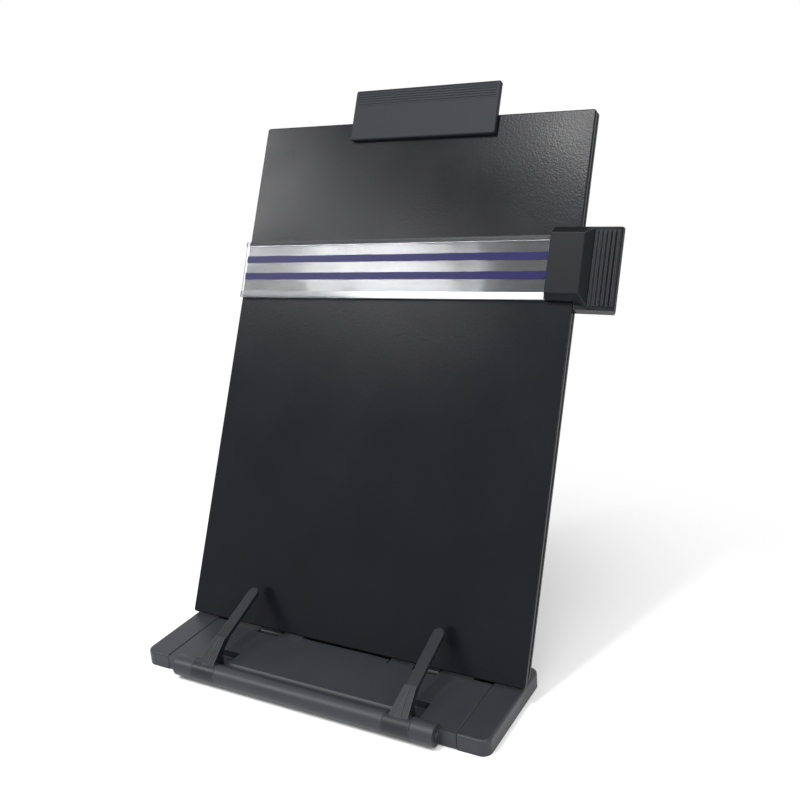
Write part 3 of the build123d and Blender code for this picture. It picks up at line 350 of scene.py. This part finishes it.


# Each ABS finish has its dark, light and edge colours; the paler edge colour is partly rubbed wear
# and partly a painted highlight. Their real grain is about 0.3 mm: it is drawn at 0.8 mm and up, so
# that it shows at this distance.
# The glossiest: it takes soft sheens.
sheet_abs = moulded_abs(
    "spark_eroded_abs_sheet",
    ("#0e0f12", "#131418", "#4a4b51"),
    rough=0.24,
    specular=0.11,
    grain_mm=0.9,
    grain_depth_mm=0.055,
)
# Duller than the sheet, so that the rear shell shows as a second piece.
shell_abs = moulded_abs(
    "moulded_abs_shell",
    ("#131417", "#18191d", "#4a4b51"),
    rough=0.4,
    specular=0.25,
    grain_mm=0.9,
    grain_depth_mm=0.04,
)
# The palest, a satin charcoal.
base_abs = moulded_abs(
    "moulded_abs_base",
    ("#232428", "#2c2d32", "#5d5e64"),
    rough=0.42,
    specular=0.3,
    grain_mm=0.9,
    grain_depth_mm=0.05,
)
# Darker than the base, with pale corners: partly rubbed wear, partly a painted highlight.
arm_abs = moulded_abs(
    "moulded_abs_arm",
    ("#16171b", "#1d1e22", "#74757c"),
    rough=0.38,
    specular=0.26,
    grain_mm=0.9,
    grain_depth_mm=0.04,
    edge_mm=0.5,
)
# The dullest, so that its lines show by their shade alone.
clip_abs = moulded_abs(
    "satin_abs_clip",
    ("#1a1b20", "#222328", "#505157"),
    rough=0.46,
    specular=0.13,
    grain_mm=0.8,
    grain_depth_mm=0.03,
)
# The darkest, with pale ribs and corners: partly rubbed wear, partly a painted highlight.
slider_abs = moulded_abs(
    "satin_abs_slider",
    ("#0d0e11", "#131417", "#74757c"),
    rough=0.42,
    specular=0.11,
    grain_mm=0.8,
    grain_depth_mm=0.035,
    edge_mm=0.5,
)
pin_steel = turned_steel("zinc_plated_turned_steel", "#b4b6b9", rough=0.3, line_mm=0.15)
dark_steel = turned_steel("blackened_turned_steel", "#4a4b4e", rough=0.38, line_mm=0.15)
wire_steel = turned_steel("drawn_spring_steel", "#8c8d90", rough=0.28, line_mm=0.1)
screw_steel = turned_steel("zinc_plated_screw_steel", "#a9abad", rough=0.32, line_mm=0.2)
pad_rubber = moulded_rubber("moulded_rubber_pad", "#171717")
lip_rubber = moulded_rubber("moulded_rubber_lip", "#1a1a1a")
clear_pvc = extruded_clear_pvc()
blue_ink = screen_printed_blue()
lip_pvc_painted_glint = extruded_pvc_lip_painted_glint()

finishes = {
    sheet_abs: ("panel_front",),
    shell_abs: ("panel_back",),
    base_abs: ("base_frame", "ledge", "prop_leg"),
    arm_abs: ("arm_left", "arm_right"),
    clip_abs: ("clip_plate",),
    slider_abs: ("slider_front", "slider_back"),
    pin_steel: ("arm_rod", "prop_pin", "foot_rod", "clip_pin"),
    dark_steel: ("hinge_pins",),
    wire_steel: ("arm_spring_left", "arm_spring_right", "clip_spring", "slider_leaf"),
    screw_steel: ("panel_screws", "ledge_screws", "slider_screws"),
    pad_rubber: ("base_pads",),
    lip_rubber: ("clip_pad",),
    clear_pvc: ("guide_strip",),
    blue_ink: ("guide_stripes",),
    lip_pvc_painted_glint: ("guide_lip",),
}
for finish, nodes in finishes.items():
    for node in nodes:
        cad[node].data.materials.clear()
        cad[node].data.materials.append(finish)

# ---------------------------------------------------------------- floor and backdrop
FLOOR_REACH = 4.0
FLOOR_DROP = 0.05 * MM  # just clear of the pads
FADE_STARTS, FADE_FULL = 0.13, 0.34  # from the object's origin
LIGHT_LEVEL, SEEN_LEVEL = 0.75, 1.0


def rays_of(tree, *kinds):
    """1 for the kinds of ray that are named, and 0 for the rest."""
    path = add(tree, "LightPath")
    found = path.outputs[kinds[0]]
    for kind in kinds[1:]:
        both = add(tree, "Math", {"operation": "MAXIMUM"}, {0: found, 1: path.outputs[kind]})
        found = both.outputs[0]
    return found


def pale_floor():
    """A matt pale floor that fades into the white background away from the object. The white shows
    to the camera and through the clear strip: glossy surfaces reflect the floor as it is lit."""
    material, tree = new_material("matt_pale_floor")
    place = add(tree, "TexCoord").outputs["Object"]
    reach = add(tree, "VectorMath", {"operation": "LENGTH"}, {0: place})
    fade = add(
        tree,
        "MapRange",
        {"interpolation_type": "SMOOTHSTEP", "From Min": FADE_STARTS, "From Max": FADE_FULL},
        {"Value": reach.outputs["Value"]},
    )
    seen = rays_of(tree, "Is Camera Ray", "Is Transmission Ray")
    whiten = add(tree, "Math", {"operation": "MULTIPLY"}, {0: fade.outputs[0], 1: seen})
    matt = add(tree, "BsdfDiffuse", {"Color": linear("#f4f4f4")})
    white = add(tree, "Emission", {"Color": linear("#ffffff"), "Strength": SEEN_LEVEL})
    mix = add(
        tree, "MixShader", {}, {0: whiten.outputs[0], 1: matt.outputs[0], 2: white.outputs[0]}
    )
    add(tree, "OutputMaterial", {}, {"Surface": mix.outputs[0]})
    return material


def white_surround():
    """An even white all round: full white where the camera, a gloss or the clear strip shows it,
    and lower where it only lights the object."""
    surround = bpy.data.worlds.new("studio")
    surround.use_nodes = True
    tree = surround.node_tree
    tree.nodes.clear()
    seen = rays_of(tree, "Is Camera Ray", "Is Glossy Ray", "Is Transmission Ray")
    level = add(tree, "MapRange", {"To Min": LIGHT_LEVEL, "To Max": SEEN_LEVEL}, {"Value": seen})
    glow = add(tree, "Background", {"Color": linear("#ffffff")}, {"Strength": level.outputs[0]})
    add(tree, "OutputWorld", {}, {"Surface": glow.outputs[0]})
    return surround


floor_mesh = bpy.data.meshes.new("floor")
form = bmesh.new()
bmesh.ops.create_grid(form, x_segments=8, y_segments=8, size=FLOOR_REACH)
form.to_mesh(floor_mesh)
form.free()
floor = bpy.data.objects.new("floor", floor_mesh)
floor.location.z = -FLOOR_DROP
floor_mesh.materials.append(pale_floor())
bpy.context.scene.collection.objects.link(floor)

bpy.context.scene.world = white_surround()

# ---------------------------------------------------------------- lamps
LEAN = math.radians(25.0)
PANEL_FOOT_MM = 8.5
SHEEN_BOX_AWAY = 1.0
panel_out = Vector((0.0, -math.cos(LEAN), math.sin(LEAN)))
panel_up = Vector((0.0, math.sin(LEAN), math.cos(LEAN)))


def softbox(name, at, aim, width, height, watts):
    """A rectangular soft lamp at one point, facing another."""
    data = bpy.data.lights.new(name, "AREA")
    data.shape = "RECTANGLE"
    data.size = width
    data.size_y = height
    data.energy = watts
    lamp = bpy.data.objects.new(name, data)
    bpy.context.scene.collection.objects.link(lamp)
    lamp.location = at
    lamp.rotation_euler = (Vector(aim) - Vector(at)).to_track_quat("-Z", "Y").to_euler()


def sheen_box(name, across_mm, up_mm, width, height, watts):
    """A softbox whose reflection the camera sees at one place on the panel's face."""
    at = Vector((across_mm, 0.0, PANEL_FOOT_MM)) * MM + panel_up * (up_mm * MM)
    seen = (at - camera_at).normalized()
    thrown = seen.reflect(panel_out)
    softbox(name, at + thrown * SHEEN_BOX_AWAY, at, width, height, watts)


# The photograph's sheens: two small ones in the panel's upper corners, and the glare that
# fills the middle of the clear strip and thins out to its left.
sheen_box("softbox_corner_right", across_mm=110, up_mm=310, width=0.12, height=0.13, watts=5.4)
sheen_box("softbox_corner_left", across_mm=-116, up_mm=268, width=0.08, height=0.2, watts=2.1)
sheen_box("softbox_strip_middle", across_mm=-4, up_mm=213, width=0.24, height=0.14, watts=1.25)
sheen_box("softbox_strip_left", across_mm=-92, up_mm=213, width=0.28, height=0.14, watts=0.28)
# One from above, and a narrow one from the right that draws lines of light along the edges.
softbox("softbox_top", (0.25, -0.25, 1.1), (0.0, 0.05, 0.1), width=0.6, height=0.6, watts=3.0)
softbox("softbox_edge", (1.0, -0.6, 0.7), (0.0, 0.0, 0.1), width=0.12, height=0.5, watts=5.0)
